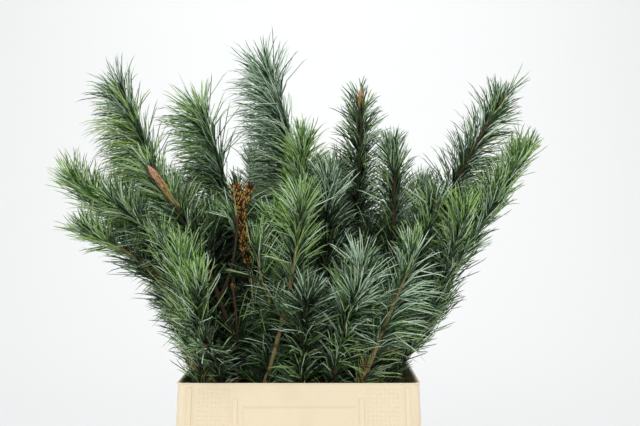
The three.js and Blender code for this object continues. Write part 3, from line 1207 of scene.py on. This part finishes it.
@dataclass
class Needles:
    """The needles of each branch, in sprays that are dealt out in a golden spiral along its shoots.

    Sizes are in millimetres and degrees. Those of a branch's own, such as its reach, are shares of these.
    The late ones are powers of the share along a shoot: the higher, the nearer to its tip a change sets in.
    """

    bunch: Bunch
    openings: Openings
    seed: int = 500

    spray_pitch: float = 1.5
    in_a_spray: int = 5
    scatter: float = 1.2
    root_out: float = 2.0
    front_y: float = -0.4
    open_tip_y: float = 0.2
    kept_open: float = 0.96

    length: float = 76.0
    half_width: float = 0.98
    longest: Spread = Spread(0.92, 0.28)
    tip_loss: float = 0.26
    loss_late: int = 4
    foot_reach: float = 0.62
    foot_gain: float = 1.2
    shorter: tuple[float, ...] = (1.0, 0.8, 0.62, 0.46)

    base_angle: float = 46.0
    tip_angle: float = 26.0
    opening: Spread = Spread(0.74, 0.52)
    lift: float = 0.4
    tip_rise: float = 0.35
    combing: tuple[float, float] = (1.3, 0.9)
    combing_luck: Spread = Spread(0.4, 1.2)
    push_range: tuple[float, float] = (0.3, 1.8)
    turn_late: int = 5
    rise_late: int = 6

    fan: Spread = Spread(0.06, 0.4)
    fan_luck: float = 0.7
    droop: float = 0.08
    following: Spread = Spread(0.6, 1.4)
    sway: float = 1.3
    each_length: Spread = Spread(0.78, 0.3)

    overlap: float = 60.0
    spray_probes: tuple[float, ...] = (0.4, 0.7, 1.0)
    needle_probes: tuple[float, ...] = (0.5, 0.75, 1.0)
    inside_collar: tuple[float, float] = (182.5, 132.5)
    beside_collar: float = 196.0
    above_rim: float = 9.0

    straw_below: float = 0.2
    tints_start: float = 1.15
    tints_mixing: float = 0.7
    same_luck: float = 0.5
    darker_luck: float = 0.8
    middle: float = 0.4
    shade_way: float = 30.0
    shade_reach: float = 52.0
    shade_step: float = 14.0
    hollow_shade: float = 2.0
    outer_gloss: float = 0.12
    inner_gloss: float = 0.5
    roughness: float = 0.34

    def build(self) -> Iterator[tuple[bpy.types.Object, str]]:
        """Make the needles of each branch.

        Returns:
            The objects one by one, each with the node that it replaces.
        """
        parts = (("outer", self.outer_gloss), ("inner", self.inner_gloss))
        finishes = [PlainColour(f"{tint.name.lower()} {part}", colour, self.roughness, gloss).material()
                    for tint in Tint for (part, gloss), colour in zip(parts, tint.value)]
        for i, branch in enumerate(BRANCHES):
            draw = random_from(self.seed + i)
            blades = Blades()
            for bow in (branch.shoot(), *self.bunch.side_curves[i]):
                self._dress(i, bow, blades, draw)
            LOG.info("%s: %d needles", branch.name, len(blades.rows))
            yield blades.mesh(f"pine_needles_{branch.name}", finishes), f"needles_{branch.name}"

    def _dress(self, i: int, bow: Bow, blades: Blades, draw: Draw) -> None:
        """Add the sprays of one shoot.

        Args:
            i: The branch's place in the list.
            bow: The shoot or side shoot.
            blades: The needles made so far.
            draw: The stream of random numbers.
        """
        branch = BRANCHES[i]
        length = bow.length()
        main = bow == branch.shoot()
        count = round(length / self.spray_pitch)
        for k in range(count):
            share = (k + draw()) / count
            along = bow.tangent(share)
            radial = spoke(along, k * GOLDEN_TURN + self.scatter * draw())
            if radial.y < self.front_y and draw() < branch.bare:
                continue
            if main and radial.y < self.open_tip_y and (1.0 - share) * length < branch.open_tip:
                continue
            way = self._way(branch, along, radial, share, draw)
            root = bow.point(share) + radial * self.root_out
            reach = self._reach(i, root, way, share, draw)
            if reach and not (self.openings.hidden_by(root, way, reach) and draw() < self.kept_open):
                tint = self._tint(branch, share, draw)
                tint = self._shaded(i, root + way * reach * self.middle, tint, draw)
                self._spray(blades, root, along, way, reach, branch.curl, tint, draw)

    def _way(self, branch: Branch, along: Vector, radial: Vector, share: float, draw: Draw) -> Vector:
        """Give the direction of a spray from its root to its tips.

        Args:
            branch: The branch.
            along: The direction of the shoot there.
            radial: The direction from the shoot to the spray's root.
            share: Where the spray is on the shoot.
            draw: The stream of random numbers.

        Returns:
            The direction, which opens less and is combed less near the shoot's tip.
        """
        combing, loss = self.combing
        combed = Vector(branch.sweep) * (combing - loss * share**self.turn_late)
        combed *= self.combing_luck.pick(draw)
        push = radial + UP * self.lift + combed
        push -= along * push.dot(along)
        weakest, strongest = self.push_range
        strength = min(max(push.length, weakest), strongest)
        degrees = self.base_angle + (self.tip_angle - self.base_angle) * share**self.turn_late
        slope = math.tan(math.radians(degrees * branch.opening * self.opening.pick(draw)))
        rise = UP * self.tip_rise * share**self.rise_late
        return (along + rise + push.normalized() * strength * slope).normalized()

    def _reach(self, i: int, root: Vector, way: Vector, share: float, draw: Draw) -> float:
        """Give the greatest length at which a spray fits.

        Args:
            i: The branch's place in the list.
            root: The spray's root.
            way: Its direction.
            share: Where it is on the shoot.
            draw: The stream of random numbers.

        Returns:
            The length, or 0 where there is no room for it.
        """
        part = self.longest.pick(draw) - self.tip_loss * share**self.loss_late
        longest = self.length * BRANCHES[i].reach * part * min(1.0, self.foot_reach + self.foot_gain * share)
        lengths = (longest * less for less in self.shorter)
        return next((length for length in lengths if self._fits(i, root, way, length)), 0.0)

    def _fits(self, i: int, root: Vector, way: Vector, length: float) -> bool:
        """Say whether a spray keeps near its own branch and clear of the container.

        Args:
            i: The branch's place in the list.
            root: The spray's root.
            way: Its direction.
            length: Its length.

        Returns:
            Whether all its probed points do.
        """
        own, others = self.bunch.own[i], self.bunch.others[i]
        for share in self.spray_probes:
            point = root + way * length * share
            if self._meets_container(point):
                return False
            if others.find(point)[2] + self.overlap < own.find(point)[2]:
                return False
        return True

    def _meets_container(self, point: Vector) -> bool:
        """Say whether a point is in the collar's walls, close to them, or down outside its long sides."""
        if point.z > GROWTH.rim_z + self.above_rim or abs(point.x) > self.beside_collar:
            return False
        return abs(point.x) >= self.inside_collar[0] or abs(point.y) >= self.inside_collar[1]

    def _tint(self, branch: Branch, share: float, draw: Draw) -> Tint:
        """Pick a spray's tint.

        Args:
            branch: The branch.
            share: Where the spray is on the shoot.
            draw: The stream of random numbers.

        Returns:
            A tint by how far down the spray is, and now and then straw near the shoot's foot.
        """
        if share < self.straw_below and draw() < branch.straw:
            return Tint.STRAW
        # Tints lower down a shoot are partly the older needles' own darker colour and partly painted shade.
        down = min(max(self.tints_start - share + self.tints_mixing * (draw() - 0.5), 0.0), 0.99)
        return branch.tints[int(down * len(branch.tints))]

    def _shaded(self, i: int, point: Vector, tint: Tint, draw: Draw) -> Tint:
        """Darken a spray's tint by how many other shoots grow above and outside it, and in the hollow.

        Args:
            i: The branch's place in the list.
            point: A point in the middle of the spray.
            tint: Its tint in the open.
            draw: The stream of random numbers.

        Returns:
            Its tint in that place.
        """
        place = point + (outwards(point) + UP) * self.shade_way
        covered = len(self.bunch.others[i].find_range(place, self.shade_reach)) / self.shade_step
        if self.openings.in_hollow(point):
            covered += self.hollow_shade
        for _ in range(int(covered + draw())):
            tint = tint.darker()
        return tint

    def _spray(self, blades: Blades, root: Vector, along: Vector, way: Vector, length: float, curl: float,
               tint: Tint, draw: Draw) -> None:
        """Add the needles of one spray, which follow the shoot at first and then arch away from it.

        Args:
            blades: The needles made so far.
            root: The spray's root.
            along: The direction of the shoot there.
            way: The direction of the spray.
            length: Its length.
            curl: How closely its needles follow the shoot at first.
            tint: Its tint.
            draw: The stream of random numbers.
        """
        for k in range(self.in_a_spray):
            fan = spoke(way, FULL_TURN * (k + self.fan_luck * draw()) / self.in_a_spray)
            end = (way + fan * self.fan.pick(draw) - UP * self.droop * draw()).normalized()
            sway = spoke(way, FULL_TURN * draw())
            start = (end + along * curl * self.following.pick(draw) + sway * self.sway * draw()).normalized()
            reach = length * self.each_length.pick(draw)
            bend = end - start
            if any(self._meets_container(root + (start + bend * share) * share * reach)
                   for share in self.needle_probes):
                continue
            tip = self._needle_tint(tint, draw())
            # Each needle's foot takes the darker tint of its tip: painted shade among the needles.
            foot = tip.darker()
            blades.add(root, start, end, reach, self.half_width, draw(), place_of(foot), place_of(tip))

    def _needle_tint(self, tint: Tint, luck: float) -> Tint:
        """Give the tint of one needle's tip: its spray's own, its darker tint as painted shade, or its paler
        tint as a painted highlight.
        """
        if luck < self.same_luck:
            return tint
        return tint.darker() if luck < self.darker_luck else tint.paler()


# The container


@dataclass
class Collar:
    """The loose collar: a tapered sleeve with a rim band, ribs, recessed panels and fields of dimples.

    Sizes are in millimetres. It is built upright and to its foot's size, and then tapered. Each of its
    ribs is given by its distance from the middle and from the rim.
    """

    foot: tuple[float, float] = (398.0, 298.0)
    top: tuple[float, float] = (380.0, 280.0)
    foot_z: float = 196.3
    height: float = 200.0
    corner: float = 16.0
    corner_steps: int = 10
    wall: float = 3.5
    rim_rounding: float = 1.1
    band_height: float = 3.4
    band_proud: float = 1.2
    panel_below_rim: float = 36.0
    panel_above_foot: float = 18.0
    panel_half_top: float = 93.0
    panel_half_foot: float = 79.0
    panel_slope: float = 4.0
    panel_depth: float = 2.0
    ribs: tuple[tuple[float, float], ...] = ((103.0, 24.0), (178.0, 6.0))
    rib_above_foot: float = 8.0
    rib_half: float = 4.2
    rib_slope: float = 0.9
    rib_proud: float = 2.2
    dimple_pitch: float = 6.9
    dimples_from: float = 114.0
    dimples_to: float = 169.0
    dimple_radius: float = 2.3
    dimple_proud: float = 1.1

    def build(self, material: bpy.types.Material) -> bpy.types.Object:
        """Make the collar.

        Args:
            material: Its finish.

        Returns:
            The object.
        """
        form = self._sleeve()
        for side in (-1.0, 1.0):
            self._dress_long_side(form, side)
        bmesh.ops.solidify(form, geom=form.faces[:], thickness=self.wall)
        rims = [edge for edge in form.edges if edge.calc_face_angle(0.0) > 1.0
                and all(abs(vert.co.z - self.height) < 0.01 for vert in edge.verts)]
        bmesh.ops.bevel(form, geom=rims, offset=self.rim_rounding, segments=3, profile=0.5, affect="EDGES",
                        material=-1)
        for side in (-1.0, 1.0):
            self._dimples(form, side)
        for vert in form.verts:
            share = vert.co.z / self.height
            vert.co.x *= 1.0 + (self.top[0] / self.foot[0] - 1.0) * share
            vert.co.y *= 1.0 + (self.top[1] / self.foot[1] - 1.0) * share
            vert.co.z += self.foot_z
        return object_of(form, "ribbed_collar", material, smooth=False)

    def _sleeve(self) -> bmesh.types.BMesh:
        """Make the upright sleeve, with round corners and the band at its rim.

        Returns:
            The sleeve, with no thickness yet.
        """
        form = bmesh.new()
        bmesh.ops.create_cube(form, size=1.0)
        bmesh.ops.scale(form, vec=(*self.foot, self.height), verts=form.verts)
        bmesh.ops.translate(form, vec=(0.0, 0.0, self.height / 2.0), verts=form.verts)
        form.normal_update()
        caps = [face for face in form.faces if abs(face.normal.z) > 0.9]
        bmesh.ops.delete(form, geom=caps, context="FACES_ONLY")
        uprights = [edge for edge in form.edges if edge.verts[0].co.xy == edge.verts[1].co.xy]
        bmesh.ops.bevel(form, geom=uprights, offset=self.corner, segments=self.corner_steps, profile=0.5,
                        affect="EDGES", material=-1)
        below, proud = self.band_height, self.band_proud
        for z in (self.height - below, self.height - below + proud):
            self._cut(form, form.faces[:], (0.0, 0.0, z), UP)
        for vert in form.verts:
            if vert.co.z > self.height - below + proud / 2.0:
                vert.co.x *= 1.0 + 2.0 * proud / self.foot[0]
                vert.co.y *= 1.0 + 2.0 * proud / self.foot[1]
        form.normal_update()
        return form

    @staticmethod
    def _cut(form: bmesh.types.BMesh, faces: list[bmesh.types.BMFace], at: Iterable[float],
             normal: Vector) -> None:
        """Cut faces along a plane, so that both halves stay.

        Args:
            form: The bmesh.
            faces: The faces to cut.
            at: A point on the plane.
            normal: The plane's normal.
        """
        edges = dict.fromkeys(edge for face in faces for edge in face.edges)
        verts = dict.fromkeys(vert for face in faces for vert in face.verts)
        bmesh.ops.bisect_plane(form, geom=[*faces, *edges, *verts], plane_co=at, plane_no=normal)

    def _long_side(self, form: bmesh.types.BMesh, side: float) -> list[bmesh.types.BMFace]:
        """Give the flat faces of one long side, below the band.

        Args:
            form: The sleeve.
            side: -1 for the front and 1 for the back.

        Returns:
            The faces.
        """
        form.normal_update()
        return [face for face in form.faces if face.normal.y * side > 0.999
                and face.calc_center_median().z < self.height - self.band_height]

    def _dress_long_side(self, form: bmesh.types.BMesh, side: float) -> None:
        """Sink the panel and raise the ribs of one long side.

        Args:
            form: The sleeve.
            side: -1 for the front and 1 for the back.
        """
        top, foot = self.height - self.panel_below_rim, self.panel_above_foot
        half_top, half_foot = self.panel_half_top, self.panel_half_foot
        rib_tops = [self.height - rib_below for _, rib_below in self.ribs]
        for z in (top, foot, self.rib_above_foot, *rib_tops):
            self._cut(form, self._long_side(form, side), (0.0, 0.0, z), UP)
        for hand in (-1.0, 1.0):
            lean = Vector((top - foot, 0.0, -hand * (half_top - half_foot))).normalized()
            self._cut(form, self._long_side(form, side), (hand * half_top, 0.0, top), lean)
            for x, _ in self.ribs:
                for edge in (x - self.rib_half, x + self.rib_half):
                    place = (hand * edge, 0.0, 0.0)
                    self._cut(form, self._long_side(form, side), place, Vector((1.0, 0.0, 0.0)))
        panel = [face for face in self._long_side(form, side) if foot < face.calc_center_median().z < top
                 and abs(face.calc_center_median().x) < half_foot]
        bmesh.ops.inset_region(form, faces=panel, thickness=self.panel_slope, depth=-self.panel_depth,
                               use_even_offset=True)
        for (x, _), rib_top in zip(self.ribs, rib_tops):
            for hand in (-1.0, 1.0):
                raised = [face for face in self._long_side(form, side)
                          if abs(face.calc_center_median().x - hand * x) < self.rib_half
                          and self.rib_above_foot < face.calc_center_median().z < rib_top]
                bmesh.ops.inset_region(form, faces=raised, thickness=self.rib_slope, depth=self.rib_proud,
                                       use_even_offset=True)

    def _dimples(self, form: bmesh.types.BMesh, side: float) -> None:
        """Add the two fields of small round bumps of one long side, in even rows.

        Args:
            form: The sleeve.
            side: -1 for the front and 1 for the back.
        """
        pitch, foot = self.dimple_pitch, self.rib_above_foot
        rows = int((self.height - self.band_height - foot) / pitch)
        columns = int((self.dimples_to - self.dimples_from) / pitch) + 1
        size = Matrix.Diagonal((self.dimple_radius, self.dimple_proud, self.dimple_radius, 1.0))
        for row in range(rows):
            for column in range(columns):
                x = self.dimples_from + column * pitch
                for hand in (-1.0, 1.0):
                    place = Vector((hand * x, side * self.foot[1] / 2.0, foot + (row + 0.5) * pitch))
                    shape = Matrix.Translation(place) @ size
                    bmesh.ops.create_icosphere(form, subdivisions=1, radius=1.0, matrix=shape)


# The studio


@dataclass(frozen=True)
class Lamp:
    """A square soft lamp that faces a place, in metres and watts."""

    name: str
    at: tuple[float, float, float]
    target: tuple[float, float, float]
    power: float
    size: float

    def hang(self) -> None:
        """Put the lamp into the scene."""
        data = bpy.data.lights.new(self.name, "AREA")
        data.energy = self.power
        data.size = self.size
        made = bpy.data.objects.new(self.name, data)
        made.location = self.at
        facing = Vector(self.target) - Vector(self.at)
        made.rotation_euler = facing.to_track_quat("-Z", "Y").to_euler()
        bpy.context.collection.objects.link(made)


@dataclass
class Studio:
    """The pale seamless backdrop, the soft light and the photograph's camera, in metres.

    focal and picture_width are in pixels of the photograph, and sensor is in millimetres.
    """

    focal: float = 1151.0
    picture_width: float = 640.0
    sensor: float = 36.0
    far: float = 100.0
    reach: float = 14.0
    wall_y: float = 4.5
    cove: float = 2.5
    cove_steps: int = 12
    wall_height: float = 9.0
    paper: Colour = (0.712, 0.725, 0.738)
    sky: Colour = (1.0, 0.985, 0.955)
    sky_strength: float = 0.75
    lamps: tuple[Lamp, ...] = (
        Lamp("key", (-0.7, -2.7, 2.3), (0.0, 0.0, 0.6), 31.5, 1.5),
        Lamp("top", (0.4, 0.0, 3.6), (0.0, 0.2, 0.0), 36.0, 1.8),
        Lamp("front", (0.5, -3.4, 0.9), (0.0, 0.0, 0.4), 4.0, 1.6),
        Lamp("left", (-3.0, -1.2, 1.0), (0.0, 0.0, 0.3), 12.0, 1.6),
        Lamp("right", (3.0, -1.2, 1.0), (0.0, 0.0, 0.3), 14.0, 1.6),
        Lamp("wall", (0.0, 1.6, 3.6), (0.0, 4.5, 2.5), 70.0, 3.0))

    def camera(self) -> None:
        """Make a level camera that looks along +Y."""
        data = bpy.data.cameras.new("camera")
        data.sensor_width = self.sensor
        data.lens = self.sensor * self.focal / self.picture_width
        data.clip_end = self.far
        made = bpy.data.objects.new("camera", data)
        made.location = CAMERA_AT
        made.rotation_euler = (math.pi / 2.0, 0.0, 0.0)
        bpy.context.collection.objects.link(made)
        bpy.context.scene.camera = made

    def backdrop(self) -> None:
        """Make the floor that curves up into a wall, extruded step by step from its front edge."""
        form = bmesh.new()
        ends = [form.verts.new((side * self.reach, -self.reach, 0.0)) for side in (1.0, -1.0)]
        edges = [form.edges.new(ends)]
        here = Vector((0.0, -self.reach, 0.0))
        for there in self._profile():
            grown = bmesh.ops.extrude_edge_only(form, edges=edges)["geom"]
            verts = [item for item in grown if isinstance(item, bmesh.types.BMVert)]
            edges = [item for item in grown if isinstance(item, bmesh.types.BMEdge)]
            edges = [edge for edge in edges if all(vert in verts for vert in edge.verts)]
            bmesh.ops.translate(form, vec=there - here, verts=verts)
            here = there
        bmesh.ops.recalc_face_normals(form, faces=form.faces[:])
        bmesh.ops.scale(form, vec=(1.0 / MM,) * 3, verts=form.verts)
        paper = PlainColour("studio paper", self.paper, 0.9, 0.1).material()
        object_of(form, "backdrop", paper)

    def _profile(self) -> Iterator[Vector]:
        """Give the backdrop's section.

        Returns:
            Its points from the end of the flat floor up to the top of the wall.
        """
        for i in range(self.cove_steps + 1):
            turn = math.pi / 2.0 * i / self.cove_steps
            y = self.wall_y - self.cove + self.cove * math.sin(turn)
            yield Vector((0.0, y, self.cove - self.cove * math.cos(turn)))
        yield Vector((0.0, self.wall_y, self.wall_height))

    def light(self) -> None:
        """Light the scene with a near-white world and soft lamps."""
        world = bpy.data.worlds.new("studio")
        world.use_nodes = True
        background = world.node_tree.nodes["Background"]
        background.inputs["Color"].default_value = (*self.sky, 1.0)
        background.inputs["Strength"].default_value = self.sky_strength
        bpy.context.scene.world = world
        for lamp in self.lamps:
            lamp.hang()
        bpy.context.scene.view_settings.view_transform = "Standard"


def carry(piece: bpy.types.Object, slot: str, *nodes: str) -> None:
    """Let a piece ride on the part and stand for CAD nodes.

    Args:
        piece: The new piece.
        slot: The name of a material slot, which is not used.
        nodes: The nodes that it replaces.
    """
    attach(piece, BODY)
    if nodes:
        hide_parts(*nodes)
    LOG.info("%s: %d faces", piece.name, len(piece.data.polygons))


def main() -> None:
    """Build the scene in order."""
    logging.basicConfig(level=logging.INFO, format="%(message)s", stream=sys.stdout)
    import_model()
    studio = Studio()
    studio.camera()
    bunch = Bunch()
    bunch.grow()
    openings = Openings()
    openings.find()
    wood = Wood(bunch)
    for piece, node in wood.stems():
        carry(piece, "bark", node)
    for piece, node in Needles(bunch, openings).build():
        carry(piece, "needles", node)
    dark_bark = Bark("dark twig bark", (0.086, 0.058, 0.030), (0.028, 0.020, 0.011), 1400.0)
    tan_bark = Bark("tan twig bark", (0.380, 0.285, 0.110), (0.145, 0.100, 0.038), 1400.0)
    carry(wood.twigs("dark_twigs", dark_bark, False), "bark")
    carry(wood.twigs("tan_twigs", tan_bark, True), "bark")
    carry(Buds(bunch).build(), "bark")
    carry(OldScales().build(), "bark")
    cream = Plastic("cream plastic").material()
    carry(Collar().build(cream), "collar", "collar")
    bucket = bpy.data.objects["bucket"]
    bucket.data.materials.clear()
    bucket.data.materials.append(cream)
    studio.backdrop()
    studio.light()
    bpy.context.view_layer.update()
    LOG.info("sizes written")


if __name__ == "__main__":
    main()
